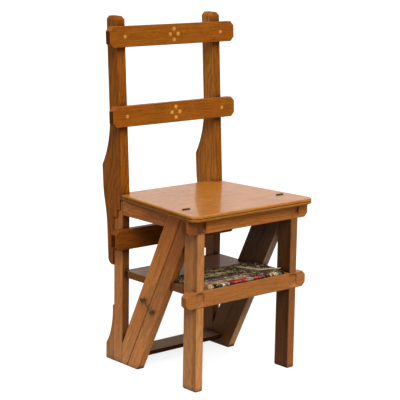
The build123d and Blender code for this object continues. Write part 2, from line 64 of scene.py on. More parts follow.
class Look:
    """A node material, put together by short calls that take sockets or plain values."""

    def __init__(self, name):
        self.material = bpy.data.materials.new(name)
        self.material.use_nodes = True
        self.tree = self.material.node_tree
        self.shader = self.tree.nodes["Principled BSDF"]
        coords = self.tree.nodes.new("ShaderNodeTexCoord")
        self.place = coords.outputs["Object"]
        self.facing = coords.outputs["Normal"]

    def feed(self, socket, value):
        if isinstance(value, bpy.types.NodeSocket):
            self.tree.links.new(value, socket)
        else:
            socket.default_value = value

    def math(self, operation, *values):
        node = self.tree.nodes.new("ShaderNodeMath")
        node.operation = operation
        for socket, value in zip(node.inputs, values):
            self.feed(socket, value)
        return node.outputs[0]

    def vector(self, operation, *values):
        node = self.tree.nodes.new("ShaderNodeVectorMath")
        node.operation = operation
        for socket, value in zip(node.inputs, values):
            self.feed(socket, value)
        return node.outputs["Value"] if operation in ("DOT_PRODUCT", "LENGTH") else node.outputs["Vector"]

    def combine(self, x, y, z):
        node = self.tree.nodes.new("ShaderNodeCombineXYZ")
        for socket, value in zip(node.inputs, (x, y, z)):
            self.feed(socket, value)
        return node.outputs[0]

    def reach(self, way):
        """How far along a way a point lies."""
        return self.vector("DOT_PRODUCT", self.place, tuple(way))

    def turned(self, way):
        """How far a face looks along a way: 1 straight along it, 0 square to it."""
        return self.vector("DOT_PRODUCT", self.facing, tuple(way))

    def noise(self, place, fineness, detail, roughness):
        """Noise with a fineness along each of the three axes."""
        node = self.tree.nodes.new("ShaderNodeTexNoise")
        self.feed(node.inputs["Vector"], self.vector("MULTIPLY", place, fineness))
        node.inputs["Scale"].default_value = 1.0
        node.inputs["Detail"].default_value = detail
        node.inputs["Roughness"].default_value = roughness
        return node.outputs["Fac"]

    def span(self, value, low, high, start=0.0, end=1.0):
        """Maps low..high to start..end, with smooth shoulders."""
        node = self.tree.nodes.new("ShaderNodeMapRange")
        node.interpolation_type = "SMOOTHSTEP"
        for name, given in (("From Min", low), ("From Max", high), ("To Min", start), ("To Max", end)):
            node.inputs[name].default_value = given
        self.feed(node.inputs["Value"], value)
        return node.outputs["Result"]

    def ramp(self, factor, *stops):
        node = self.tree.nodes.new("ShaderNodeValToRGB")
        elements = node.color_ramp.elements
        while len(elements) < len(stops):
            elements.new(MIDDLE_STOP)
        for element, (place, colour) in zip(elements, stops):
            element.position = place
            element.color = (*colour, 1.0)
        self.feed(node.inputs["Fac"], factor)
        return node.outputs["Color"]

    def mix(self, factor, under, over, blend="MIX"):
        node = self.tree.nodes.new("ShaderNodeMix")
        node.data_type = "RGBA"
        node.blend_type = blend
        self.feed(node.inputs["Factor"], factor)
        for name, value in (("A_Color", under), ("B_Color", over)):
            socket = next(s for s in node.inputs if s.identifier == name)
            self.feed(socket, (*value, 1.0) if isinstance(value, tuple) else value)
        return next(s for s in node.outputs if s.identifier == "Result_Color")

    def crevices(self, distance):
        """1 in the open and 0 in a deep corner."""
        node = self.tree.nodes.new("ShaderNodeAmbientOcclusion")
        node.samples = NODE_SAMPLES
        node.inputs["Distance"].default_value = distance
        return node.outputs["AO"]

    def rounded(self, radius):
        """The normal with the arrises rounded by a radius, and how near an arris a point is."""
        bevel = self.tree.nodes.new("ShaderNodeBevel")
        bevel.samples = NODE_SAMPLES
        bevel.inputs["Radius"].default_value = radius
        surface = self.tree.nodes.new("ShaderNodeNewGeometry")
        alike = self.vector("DOT_PRODUCT", bevel.outputs["Normal"], surface.outputs["True Normal"])
        return bevel.outputs["Normal"], self.span(alike, *ARRIS_SPAN)

    def bump(self, height, strength, distance, normal=None):
        node = self.tree.nodes.new("ShaderNodeBump")
        node.inputs["Strength"].default_value = strength
        node.inputs["Distance"].default_value = distance
        self.feed(node.inputs["Height"], height)
        if normal is not None:
            self.feed(node.inputs["Normal"], normal)
        return node.outputs["Normal"]

    def finish(self, **values):
        for name, value in values.items():
            self.feed(self.shader.inputs[name.replace("_", " ")], value)
        return self.material


def shade(colour, amount):
    return tuple(min(1.0, amount * c) for c in colour)


def around(angle, first, second):
    """The way at an angle from the first of two perpendicular ways towards the second."""
    return math.cos(angle) * first + math.sin(angle) * second


def add_object(name, data):
    piece = bpy.data.objects.new(name, data)
    bpy.context.scene.collection.objects.link(piece)
    return piece


# Wood

# Old varnish, and with it painted shade, that the occlusion of the corners mixes in
CORNER_VARNISH_AND_SHADE = (0.022, 0.008, 0.003)
# Pale oak where arrises and scuffs are rubbed, and a painted highlight along the arrises
WORN_AND_HIGHLIT_OAK = (0.54, 0.29, 0.135)
DUSTY_OAK = (0.23, 0.15, 0.09)
PALE_WOOD = (0.66, 0.28, 0.05)
AMBER_SHINE = (1.0, 0.7, 0.4, 1.0)
REDDER = (1.04, 0.8, 0.62)
YELLOWER = (1.0, 1.2, 0.9)
# How much of its colour is left in the pores and dark scuffs, and along a dirty joint and the rear shelf's
# painted reflection
DARK_SHARE = 0.3
DIRT_AND_REFLECTION_SHARE = 0.16

# Noises: the fineness across, through and along the grain, the detail and the roughness
WOOD_NOISES = {
    "streaks": ((340.0, 340.0, 13.0), 5.0, 0.72),
    "mottle": ((60.0, 60.0, 20.0), 4.0, 0.6),
    "flecks": ((520.0, 520.0, 130.0), 3.0, 0.6),
    "pores": ((1300.0, 1300.0, 60.0), 2.0, 0.55),
    "sway": ((12.0, 12.0, 4.5), 2.0, 0.55),
    "hue": ((40.0, 40.0, 11.0), 3.0, 0.55),
    "patches": ((75.0, 75.0, 30.0), 5.0, 0.75),
    "scuffs": ((260.0, 480.0, 150.0), 5.0, 0.8),
}
# What each noise adds to the tone, and the tones' places on the ramp with their steps of contrast
TONE_SHARES = (("mottle", 0.22), ("streaks", 0.52), ("flecks", 0.26))
TONE_STOPS = ((0.4, -1.6), (0.47, -0.5), (0.53, 0.5), (0.61, 1.4))

# Growth rings: radians of their wave in a metre, how much they sway, and the ranges of the pith's place
SEED_RANGE = (2.0, 9.0)
RING_WAVE = 1150.0
RING_SWAY = 42.0
PITH_ACROSS = (0.02, 0.05)
PITH_THROUGH = (-0.03, 0.03)
PITH_LEAN = (0.05, 0.09)

# Spans of a noise, an angle or a length, most of them with the strength at their start and at their end
PORE_SPAN = (0.56, 0.68, 0.0, 0.55)
RED_SPAN = (0.53, 0.68, 0.0, 0.42)
YELLOW_SPAN = (0.46, 0.3, 0.0, 0.4)
DUST_FACING_SPAN = (0.6, 0.9)
DUST_SPAN = (0.3, 0.65)
DUST_LEAST_SHARE = 0.4
FACE_SPAN = (0.5, 0.9)
END_SPAN = (0.8, 0.95, 0.0, 0.9)
SEAM_FACING_SPAN = (0.8, 0.4)
SEAM_CORE_SHARE = 0.6
SEAM_STRENGTH = 0.95
MARK_SPAN = (11 * MM, 4 * MM, 0.0, 0.45)
CORNER_REACH = 14 * MM
CORNER_SPAN = (0.92, 0.4)
ARRIS_RADIUS = 1.8 * MM
RUB_AND_HIGHLIGHT_SPAN = (0.4, 0.6)
RUB_AND_HIGHLIGHT_LEAST_SHARE = 0.1
PALE_SCUFF_SPAN = (0.62, 0.72)
PALE_SCUFF_SHARE = 0.5
DARK_SCUFF_SPAN = (0.36, 0.28, 0.0, 0.6)

# Surface: how much the patches change its roughness, and where it is matt or has a coat of polish
PATCH_ROUGHNESS = 0.25
PATCH_ROUGHNESS_OFFSET = 0.1
UNDERSIDE_SPAN = (0.2, 0.6, 0.0, 0.5)
MATT_END_SPAN = (0.7, 0.95, 0.0, 0.5)
PORE_RELIEF = -0.5
SCUFF_RELIEF = 0.35
WOOD_RELIEF_HEIGHT = 0.4 * MM
COAT_FACING_SPAN = (0.9, 0.99)
COAT_SPAN = (0.3, 0.7)
COAT_SHARES = (0.82, 1.18)
COAT_ROUGHNESS = 0.1


def grain_noises(look, along, draw):
    """The noises of one board, in coordinates that run with its grain, and its growth rings."""
    across = along.orthogonal().normalized()
    through = along.cross(across)
    seed = tuple(draw.uniform(*SEED_RANGE) for _ in range(3))
    grain = look.vector("ADD", look.combine(*(look.reach(way) for way in (across, through, along))), seed)
    noises = {kind: look.noise(grain, *settings) for kind, settings in WOOD_NOISES.items()}

    # The rings' pith lies outside the board and leans a little
    pith = (-seed[0] - draw.uniform(*PITH_ACROSS), -seed[1] - draw.uniform(*PITH_THROUGH), 0.0)
    leaning = look.vector("MULTIPLY", grain, (0.0, 0.0, draw.uniform(*PITH_LEAN)))
    from_pith = look.vector("MULTIPLY", look.vector("ADD", grain, pith), (1.0, 1.0, 0.0))
    radius = look.vector("LENGTH", look.vector("ADD", from_pith, leaning))
    sway = look.math("MULTIPLY", noises["sway"], RING_SWAY)
    noises["rings"] = look.math("SINE", look.math("MULTIPLY_ADD", radius, RING_WAVE, sway))
    return noises


def varnished_wood(look, noises, colour, contrast, figure):
    """The board's own colour, with its pores, redder in one place and yellower in another."""
    tone = 0.0
    for kind, share in (*TONE_SHARES, ("rings", figure)):
        tone = look.math("MULTIPLY_ADD", noises[kind], share, tone)
    base = look.ramp(tone, *((place, shade(colour, 1.0 + steps * contrast)) for place, steps in TONE_STOPS))
    base = look.mix(look.span(noises["pores"], *PORE_SPAN), base, shade(colour, DARK_SHARE))
    for span, tint in ((RED_SPAN, REDDER), (YELLOW_SPAN, YELLOWER)):
        tinted = tuple(c * t for c, t in zip(colour, tint))
        base = look.mix(look.span(noises["hue"], *span), base, tinted)
    return base


def joint_dirt_and_reflection(look, seam):
    """Where dirt has settled along a joint, and on the rear shelf a painted reflection of the lower back
    rail: beside its plane, and not on the faces that lie in it.
    """
    normal, offset, half_depth = seam
    away = look.math("ABSOLUTE", look.math("SUBTRACT", look.reach(normal), offset))
    beside = look.span(look.math("ABSOLUTE", look.turned(normal)), *SEAM_FACING_SPAN)
    near = look.span(away, half_depth, SEAM_CORE_SHARE * half_depth, 0.0, SEAM_STRENGTH)
    return look.math("MULTIPLY", beside, near)


def oak(name, along, colour, contrast=0.3, roughness=0.34, coat=0.0, wear_and_highlight=0.5, faces=(), fades=(),
        dusty=0.0, shine=0.1, relief=0.25, seam=None, end_share=0.22, mark=None, corner_varnish_and_shade=0.85, figure=0.022):
    """Old varnished oak. along is the way of the grain and colour its middle tone. coat is how much
    polish the upward faces have, wear_and_highlight how pale the arrises and scuffs are rubbed, with
    a painted highlight along the arrises, and dusty how much dust lies on it. faces lists the ways
    some faces look, each with its tint there, mostly painted light and shade, and fades the ways the
    colour changes over a length, some of them painted shade, each with where that starts, where it
    ends and the tint it ends in. seam is a plane, as its normal, offset and half depth, along which
    dirt has settled in a joint, and on the rear shelf a painted reflection, end_share how much of the
    colour the end grain keeps, mark the middle of a small round spot where the finish has gone,
    corner_varnish_and_shade how dark the corners have become with old varnish and painted shade, and
    figure how strongly the growth rings show."""
    look = Look(name)
    noises = grain_noises(look, along, random.Random(name))
    base = varnished_wood(look, noises, colour, contrast, figure)
    if dusty:
        upwards = look.span(look.turned(Z), *DUST_FACING_SPAN)
        settled = look.span(noises["patches"], *DUST_SPAN, DUST_LEAST_SHARE * dusty, dusty)
        base = look.mix(look.math("MULTIPLY", upwards, settled), base, DUSTY_OAK)
    # Tints by the way a face looks, most of them painted light and shade
    for way, tint in faces:
        base = look.mix(look.span(look.turned(way), *FACE_SPAN), base, tint, blend="MULTIPLY")
    for way, start, end, tint in fades:
        base = look.mix(look.span(look.reach(way), start, end), base, tint, blend="MULTIPLY")

    # Dark end grain, dirt along a joint and a painted reflection on the rear shelf, a pale spot, and old
    # varnish with painted shade gathered in the corners
    ends = look.math("ABSOLUTE", look.turned(along))
    base = look.mix(look.span(ends, *END_SPAN), base, shade(colour, end_share))
    if seam is not None:
        base = look.mix(joint_dirt_and_reflection(look, seam), base, shade(colour, DIRT_AND_REFLECTION_SHARE))
    if mark is not None:
        away = look.vector("LENGTH", look.vector("SUBTRACT", look.place, mark))
        base = look.mix(look.span(away, *MARK_SPAN), base, PALE_WOOD)
    base = look.mix(look.span(look.crevices(CORNER_REACH), *CORNER_SPAN, 0.0, corner_varnish_and_shade), base, CORNER_VARNISH_AND_SHADE)

    # Arrises rubbed pale with a painted highlight along them, and scuffs
    soft_normal, arris = look.rounded(ARRIS_RADIUS)
    rubbed_and_highlit = look.span(noises["patches"], *RUB_AND_HIGHLIGHT_SPAN, RUB_AND_HIGHLIGHT_LEAST_SHARE * wear_and_highlight, wear_and_highlight)
    base = look.mix(look.math("MULTIPLY", arris, rubbed_and_highlit), base, WORN_AND_HIGHLIT_OAK)
    pale = look.span(noises["scuffs"], *PALE_SCUFF_SPAN, 0.0, PALE_SCUFF_SHARE * wear_and_highlight)
    base = look.mix(pale, base, WORN_AND_HIGHLIT_OAK)
    base = look.mix(look.span(noises["scuffs"], *DARK_SCUFF_SPAN), base, shade(colour, DARK_SHARE))

    # Undersides and end grain took little varnish, and only upward faces were polished
    matt = look.math("MAXIMUM", look.span(look.turned(-Z), *UNDERSIDE_SPAN), look.span(ends, *MATT_END_SPAN))
    rough = look.math("MULTIPLY_ADD", noises["patches"], PATCH_ROUGHNESS, roughness - PATCH_ROUGHNESS_OFFSET)
    rough = look.math("ADD", rough, matt)
    height = look.math("MULTIPLY", noises["scuffs"], SCUFF_RELIEF)
    height = look.math("MULTIPLY_ADD", noises["pores"], PORE_RELIEF, height)
    normal = look.bump(height, relief, WOOD_RELIEF_HEIGHT, soft_normal)
    if coat:
        upwards = look.span(look.turned(Z), *COAT_FACING_SPAN)
        polish = look.span(noises["mottle"], *COAT_SPAN, *(share * coat for share in COAT_SHARES))
        coat = look.math("MULTIPLY", upwards, polish)
    return look.finish(Base_Color=base, Roughness=rough, Normal=normal, Specular_IOR_Level=shine,
                       Specular_Tint=AMBER_SHINE, Coat_Weight=coat, Coat_Roughness=COAT_ROUGHNESS)


# Metal and wool

METAL_NOISE = ((420.0, 420.0, 420.0), 5.0, 0.7)
METAL_STOPS = (0.35, 0.52, 0.7)
METAL_DULL_SHARE = 0.45
METAL_ARRIS_RADIUS = 0.4 * MM
METAL_ARRIS_SHARE = 0.6
METAL_ROUGH_SPAN = (0.35, 0.7)
METAL_DULL_ROUGHNESS = 0.2
METAL_RELIEF = 0.3
METAL_RELIEF_HEIGHT = 0.2 * MM
METALLIC = 0.85
HOOK_METAL = ((0.055, 0.034, 0.013), (0.33, 0.22, 0.1), 0.4)
PIN_METAL = ((0.05, 0.045, 0.04), (0.2, 0.18, 0.16), 0.4)
LEAF_METAL = ((0.05, 0.032, 0.014), (0.16, 0.11, 0.05), 0.45)
SCREW_METAL = ((0.07, 0.065, 0.06), (0.25, 0.23, 0.2), 0.4)

WOOL_NOISE = ((900.0, 900.0, 900.0), 4.0, 0.7)
WOOL_SHADE = (0.01, 0.008, 0.007)
WOOL_SHADE_SPAN = (0.3, 0.7, 0.55, 0.0)
WOOL_DUST = (0.5, 0.42, 0.3)
WOOL_DUST_SPAN = (0.6, 0.8, 0.0, 0.2)
WOOL_RELIEF = 0.6
WOOL_RELIEF_HEIGHT = 1.2 * MM


def metal(name, colour, wear_and_highlight, roughness):
    """Old metal: dull in the hollows, brighter where it rubs, and with a painted highlight along its
    arrises.
    """
    look = Look(name)
    patches = look.noise(look.place, *METAL_NOISE)
    base = look.ramp(patches, *zip(METAL_STOPS, (shade(colour, METAL_DULL_SHARE), colour, wear_and_highlight)))
    soft_normal, arris = look.rounded(METAL_ARRIS_RADIUS)
    base = look.mix(look.math("MULTIPLY", arris, METAL_ARRIS_SHARE), base, wear_and_highlight)
    rough = look.span(patches, *METAL_ROUGH_SPAN, roughness + METAL_DULL_ROUGHNESS, roughness)
    normal = look.bump(patches, METAL_RELIEF, METAL_RELIEF_HEIGHT, soft_normal)
    return look.finish(Base_Color=base, Roughness=rough, Normal=normal, Metallic=METALLIC)


def carpet_wool(name):
    """Knotted wool: the dye comes from each knot, with dust and a soft sheen over it."""
    look = Look(name)
    dye = look.tree.nodes.new("ShaderNodeAttribute")
    dye.attribute_name = "dye"
    fibres = look.noise(look.place, *WOOL_NOISE)
    base = look.mix(look.span(fibres, *WOOL_SHADE_SPAN), dye.outputs["Color"], WOOL_SHADE)
    base = look.mix(look.span(fibres, *WOOL_DUST_SPAN), base, WOOL_DUST)
    normal = look.bump(fibres, WOOL_RELIEF, WOOL_RELIEF_HEIGHT)
    return look.finish(Base_Color=base, Roughness=0.95, Normal=normal, Sheen_Weight=0.04,
                       Sheen_Roughness=0.6, Specular_IOR_Level=0.04)


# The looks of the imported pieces

BACK_OAK = (0.285, 0.082, 0.006)
BACK_RAIL_OAK = shade(BACK_OAK, 1.06)
LOW_RAIL_OAK = (0.19, 0.05, 0.005)
LEG_OAK = (0.4, 0.16, 0.048)
SHADY_LEG_OAK = shade(LEG_OAK, 0.69)
STRINGER_OAK = (0.405, 0.142, 0.033)
FRONT_STRINGER_OAK = shade(STRINGER_OAK, 0.92)
REAR_STRINGER_OAK = shade(STRINGER_OAK, 1.32)
REAR_LEG_OAK = shade(STRINGER_OAK, 1.16)
FOOT_OAK = shade(STRINGER_OAK, 0.85)
SHADED_OAK = (0.32, 0.165, 0.08)
SEAT_OAK = (0.43, 0.152, 0.02)
APRON_OAK = shade((0.44, 0.145, 0.024), 1.12)
SIDE_RAIL_OAK = (0.4, 0.12, 0.022)
FRONT_RAIL_OAK = (0.39, 0.138, 0.033)
SHELF_OAK = shade((0.26, 0.1, 0.036), 0.8)

# Tints by the way a face looks: painted shade on inner, hidden and some outer faces, painted light on faces
# that meet the light, and WARM_ENDS the warmer end grain at the shelves' left ends
DEEP_SHADE = (0.33, 0.31, 0.3)
SHADED = (0.4, 0.38, 0.36)
LIT_GREY_EDGE = (1.28, 1.6, 2.4)
SUNNY_SIDE = (1.15, 0.9, 0.62)
LIT_OUTSIDE = (1.45, 1.45, 1.45)
WARM_ENDS = (0.95, 0.72, 0.4)
OUTER_POST = (0.9, 0.88, 0.66)
LIT_INNER_FACE = (1.3, 1.55, 3.0)
SHADED_FRONT = (0.88, 0.9, 1.1)
LIT_FRONT = (1.65, 1.7, 1.75)
DIM_FRONT = (1.36, 1.32, 1.3)

# Changes of colour along a way: the way, where each starts and ends along it in metres, and the tint at its
# end
RICH = (0.8, 0.66, 0.42)
# Painted shade, darker towards the seat on the left post
UNDER_WING = (Z, 0.72, 0.5, (0.93, 0.9, 0.66))
RICH_TOP = (Z, 0.22, 0.42, RICH)
RICH_LEG_TOP = (Z, 0.25, 0.42, RICH)
WORN_STRINGER = (Z, 0.28, 0.03, (1.6, 1.75, 2.3))
SCUFFED_FOOT = (Z, 0.15, 0.0, (1.15, 1.35, 2.0))
WARMER_FOOT = (Z, 0.25, 0.02, (1.75, 1.35, 0.85))
WORN_LEG = (Z, 0.3, 0.03, (1.26, 1.36, 1.5))
STAINED_LEG = (Z, 0.22, 0.02, (1.2, 0.98, 0.92))
MUDDY_FOOT = (Z, 0.013, 0.003, (0.8, 0.9, 1.3))
# Darker towards the front of the front legs
DARKER_FRONT_STRIP = (Y, -0.158, -0.167, (0.7, 0.66, 0.62))
# Painted shadow of the seat's overhang on the apron's left end
SHADY_END = (X, -0.134, -0.148, (0.5, 0.42, 0.55))
SEAT_MARK = (-0.035, -0.066, 0.4497)

# The stringers are each split along one line, from the rear foot up to the seat's seam
STRINGER_SEAM_DEPTH = 2.6 * MM
SHELF_REFLECTION_DEPTH = 13 * MM
split_foot = Vector((0, 0.0983, 0))
split_top = Vector((0, -0.1185, 0.4347))
diagonal_grain = (split_top - split_foot).normalized()
split_normal = X.cross(diagonal_grain)
split_seam = (split_normal, split_foot.dot(split_normal), STRINGER_SEAM_DEPTH)
# A dark strip along the rear shelf's back edge: a painted reflection of the lower back rail
shelf_back_reflection = (Y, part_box("rear_shelf")[1].y, SHELF_REFLECTION_DEPTH)
post_grain = Vector((0, 0.026, 0.45)).normalized()


def side_look(name):
    """The look of a piece that stands at one side of the chair. The left side is the lit one."""
    lit = name.endswith("_left")
    out = -X if lit else X
    if name.startswith("back_post"):
        return oak(name, post_grain, BACK_OAK, contrast=0.29, shine=0.06, figure=0.042,
                   faces=[(out, OUTER_POST)] if lit else [(-out, LIT_INNER_FACE), (-Y, SHADED_FRONT)],
                   fades=[UNDER_WING] if lit else [])
    if name.startswith("front_diagonal") and lit:
        return oak(name, diagonal_grain, FRONT_STRINGER_OAK, contrast=0.2, seam=split_seam,
                   faces=[(-out, DEEP_SHADE)], fades=[RICH_TOP, WORN_STRINGER])
    if name.startswith("front_diagonal"):
        return oak(name, diagonal_grain, SHADED_OAK, contrast=0.2, seam=split_seam,
                   faces=[(-out, DEEP_SHADE), (split_normal, LIT_GREY_EDGE), (out, SUNNY_SIDE)], fades=[WARMER_FOOT])
    if name.startswith("rear_diagonal") and lit:
        return oak(name, diagonal_grain, REAR_STRINGER_OAK, contrast=0.2, seam=split_seam,
                   faces=[(-out, DEEP_SHADE)], fades=[RICH_TOP, SCUFFED_FOOT])
    if name.startswith("rear_diagonal"):
        return oak(name, diagonal_grain, SHADED_OAK, contrast=0.2, seam=split_seam,
                   faces=[(-out, DEEP_SHADE), (out, SUNNY_SIDE)], fades=[RICH_TOP, WARMER_FOOT])
    if name.startswith("front_leg") and lit:
        return oak(name, Z, LEG_OAK, contrast=0.19, faces=[(-out, DEEP_SHADE), (-Y, LIT_FRONT)],
                   fades=[DARKER_FRONT_STRIP, WORN_LEG, MUDDY_FOOT])
    if name.startswith("front_leg"):
        return oak(name, Z, SHADY_LEG_OAK, contrast=0.19,
                   faces=[(-out, DEEP_SHADE), (-Y, DIM_FRONT), (out, LIT_OUTSIDE)],
                   fades=[DARKER_FRONT_STRIP, STAINED_LEG, MUDDY_FOOT])
    if name.startswith("rear_leg"):
        return oak(name, Z, REAR_LEG_OAK, contrast=0.19, faces=[(-out, SHADED), (-Y, DEEP_SHADE)],
                   fades=[RICH_LEG_TOP, SCUFFED_FOOT])
    if name.startswith("foot_block"):
        return oak(name, Z, FOOT_OAK, contrast=0.19, fades=[SCUFFED_FOOT])
    if name.startswith("seat_side_rail"):
        return oak(name, Y, SIDE_RAIL_OAK)
    if name.startswith("hinge"):
        return metal(name, *LEAF_METAL)
    return metal(name, *HOOK_METAL)


def middle_look(name):
    """The look of a piece that runs across the chair, or of small parts that are one piece."""
    if name in ("top_back_rail", "middle_back_rail"):
        return oak(name, X, BACK_RAIL_OAK, contrast=0.22, shine=0.07, wear_and_highlight=0.65)
    if name == "lower_back_rail":
        return oak(name, X, LOW_RAIL_OAK, contrast=0.25, shine=0.05, wear_and_highlight=0.8)
    if name == "apron":
        return oak(name, X, APRON_OAK, contrast=0.18, corner_varnish_and_shade=0.6, wear_and_highlight=0.95, fades=[SHADY_END])
    if name == "middle_front_rail":
        return oak(name, X, FRONT_RAIL_OAK, contrast=0.15, wear_and_highlight=0.95, corner_varnish_and_shade=0.15, end_share=0.7)
    if name in ("front_seat_strip", "main_seat_board"):
        return oak(name, X, SEAT_OAK, contrast=0.2, roughness=0.3, coat=0.4, wear_and_highlight=0.7, relief=0.06,
                   end_share=0.62, mark=SEAT_MARK)
    if name in ("rear_shelf", "front_tread"):
        return oak(name, X, SHELF_OAK, roughness=0.6, coat=0.26, dusty=0.5, shine=0.06, end_share=0.9,
                   seam=shelf_back_reflection, wear_and_highlight=0.7, faces=[(-X, WARM_ENDS)])
    if name == "bottom_tread":
        return oak(name, X, SHELF_OAK, roughness=0.6, dusty=0.95, shine=0.06, end_share=0.9,
                   faces=[(-Y, DEEP_SHADE)])
    if name in ("rail_pegs", "inlay_dots"):
        return oak(name, X, PALE_WOOD, contrast=0.25, wear_and_highlight=0.0)
    if name == "hinge_pins":
        return metal(name, *PIN_METAL)

    # The hooks' pivots and eyes, and the solid that the woven carpet replaces
    return metal(name, *HOOK_METAL)


for name, node in frame["nodes"].items():
    at_side = name.endswith(("_left", "_right"))
    node.data.materials.clear()
    node.data.materials.append(side_look(name) if at_side else middle_look(name))


# Side hooks of bent round wire, curled round their pivots

WIRE_SMOOTHNESS = 4
WIRE_ORDER = 3
HOOK_WIRE = 3.5 * MM
HOOK_CURL_RADIUS = 3.7 * MM
HOOK_CURL_STEPS = 14
# The curl's start and its turn, in degrees from the shank
HOOK_CURL_START = 35
HOOK_CURL_TURN = 300
HOOK_SHANK_START = 8 * MM
HOOK_BEND = 2.5 * MM
HOOK_TIP_RISE = 18.6 * MM
HOOK_ELBOW_REACH = 34 * MM


def wire(name, points, thick, look):
    data = bpy.data.curves.new(name, "CURVE")
    data.dimensions = "3D"
    data.bevel_depth = thick / 2
    data.bevel_resolution = WIRE_SMOOTHNESS
    data.use_fill_caps = True
    data.resolution_u = WIRE_SMOOTHNESS
    data.materials.append(look)
    spline = data.splines.new("NURBS")
    spline.points.add(len(points) - 1)
    for spot, point in zip(spline.points, points):
        spot.co = (*point, 1.0)
    spline.use_endpoint_u = True
    spline.order_u = WIRE_ORDER
    return add_object(name, data)


def hook_path(pivot, high):
    """The middle of a hook's wire: round its pivot, along the shank to the elbow, and on to the tip."""
    tip = Vector((pivot.x, high.y - HOOK_WIRE / 2, pivot.z + HOOK_TIP_RISE))
    elbow = Vector((pivot.x, pivot.y + HOOK_ELBOW_REACH, high.z - HOOK_WIRE / 2))
    shank = (elbow - pivot).normalized()
    upright = X.cross(shank)
    path = []
    for step in range(HOOK_CURL_STEPS):
        angle = math.radians(HOOK_CURL_START + HOOK_CURL_TURN * step / (HOOK_CURL_STEPS - 1))
        path.append(pivot + HOOK_CURL_RADIUS * around(angle, shank, upright))
    path.append(pivot + HOOK_SHANK_START * shank)
    path += [elbow - HOOK_BEND * shank, elbow, elbow + HOOK_BEND * (tip - elbow).normalized(), tip]
    return path


hook_look = metal("hook_wire", *HOOK_METAL)
for side_name in ("left", "right"):
    joint = next(j for j in frame["joints"] if j["name"] == f"latch_hook_{side_name}_swing")
    hook_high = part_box(f"latch_hook_{side_name}")[1]
    hook = wire(f"hook_wire_{side_name}", hook_path(Vector(joint["pos_m"]), hook_high), HOOK_WIRE, hook_look)
    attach(hook, f"latch_hook_{side_name}")
    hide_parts(f"latch_hook_{side_name}")


# Countersunk heads of the hinge screws

SCREW_RADIUS = 2.3 * MM
SCREW_FLARE = 0.3 * MM
SCREW_PROUD = 0.15 * MM
SCREW_SLOT = 0.6 * MM
SCREW_ARC_STEPS = 14
# How much further each slot is turned than the one before, in radians
SCREW_TURN = 0.7
SCREW_SHARES = (0.25, 0.75)
SCREW_RISE = 5 * MM


def half_ring(radius, height):
    """Half a circle of points, cut short on both sides of the slot."""
    start = math.asin(SCREW_SLOT / 2 / radius)
    ring = []
    for step in range(SCREW_ARC_STEPS + 1):
        angle = start + (math.pi - 2 * start) * step / SCREW_ARC_STEPS
        ring.append(Vector((radius * math.cos(angle), radius * math.sin(angle), height)))
    return ring


def slotted_screws(name, spots, facing, look):
    """Countersunk heads let in at the spots: two bevelled halves each, with the slot between them."""
    mesh = bmesh.new()
    turn = facing.to_track_quat("Z", "X").to_matrix()
    for number, spot in enumerate(spots):
        for half in (0, math.pi):
            placed = turn @ Matrix.Rotation(SCREW_TURN * number + half, 3, "Z")
            outer = [mesh.verts.new(spot + placed @ at) for at in half_ring(SCREW_RADIUS + SCREW_FLARE, 0.0)]
            inner = [mesh.verts.new(spot + placed @ at) for at in half_ring(SCREW_RADIUS, SCREW_PROUD)]
            mesh.faces.new(inner)
            mesh.faces.new(list(reversed(outer)))
            count = len(inner)
            for i in range(count):
                k = (i + 1) % count
                mesh.faces.new((outer[i], outer[k], inner[k], inner[i]))
    data = bpy.data.meshes.new(name)
    mesh.to_mesh(data)
    mesh.free()
    data.materials.append(look)
    return add_object(name, data)


screw_look = metal("old_screw", *SCREW_METAL)
for section, body, facing, edge_y in (
    ("front", "front_frame", Y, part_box("front_seat_strip")[1].y),
    ("rear", "back_frame", -Y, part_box("main_seat_board")[0].y),
):
    spots = []
    for side_name in ("left", "right"):
        low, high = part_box(f"hinge_{section}_leaf_{side_name}")
        for share in SCREW_SHARES:
            spots.append(Vector((low.x + share * (high.x - low.x), edge_y, low.z + SCREW_RISE)))
    screws = slotted_screws(f"hinge_screws_{section}", spots, facing, screw_look)
    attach(screws, body)


# Carpet: a knotted remnant that lies on the front tread, its front edge turned under on the rail

DYES = {
    "navy": (0.014, 0.012, 0.02),
    "black": (0.02, 0.014, 0.01),
    "cream": (0.7, 0.52, 0.27),
    "crimson": (0.4, 0.012, 0.01),
    "garnet": (0.17, 0.01, 0.01),
    "sage": (0.2, 0.21, 0.14),
    "pale_sage": (0.42, 0.42, 0.27),
    "rose": (0.5, 0.13, 0.1),
    "slate": (0.13, 0.12, 0.12),
    "tan": (0.46, 0.27, 0.11),
    "straw": (0.6, 0.44, 0.2),
    "clay": (0.52, 0.24, 0.15),
    "umber": (0.07, 0.04, 0.024),
}
KNOT = 2.4 * MM
PILE_CORE = 3.4 * MM
CARPET_DRAW = random.Random("carpet")

# Uneven places: the waves in a metre across and along the carpet, and the layer of noise they are read from
CARPET_NOISES = {
    "rows": (28, 40, 1.5),
    "darkness": (110, 110, 2.5),
    "lumps": (70, 70, 4.0),
    "edges": (1, 60, 7.7),
    "clumps": (210, 210, 8.5),
}

# The carpet's section: the turned-under end, the fold, and how it falls behind the fold to the tread
CARPET_LIFT = 0.2 * MM
FOLD_DEPTH = 17 * MM
FOLD_TOP_INSET = 2.2 * MM
FOLD_FRONT_INSET = 2.4 * MM
FOLD_STEPS = 5
TURNED_UNDER_ROWS = 4
TURNED_UNDER_INSET = 2 * MM
FALL_LEAD = 3 * MM
FALL_DEPTH = 9 * MM
REAR_INSET = 3 * MM

# Its outline, with the place across the noise from which the edges are read
FRONT_NARROWING = 14.5 * MM
TAPER_DEPTH = 26 * MM
EDGE_INSET = 2 * MM
EDGE_RAGGEDNESS = 1.6 * MM
EDGE_NOISE_X = 3.1

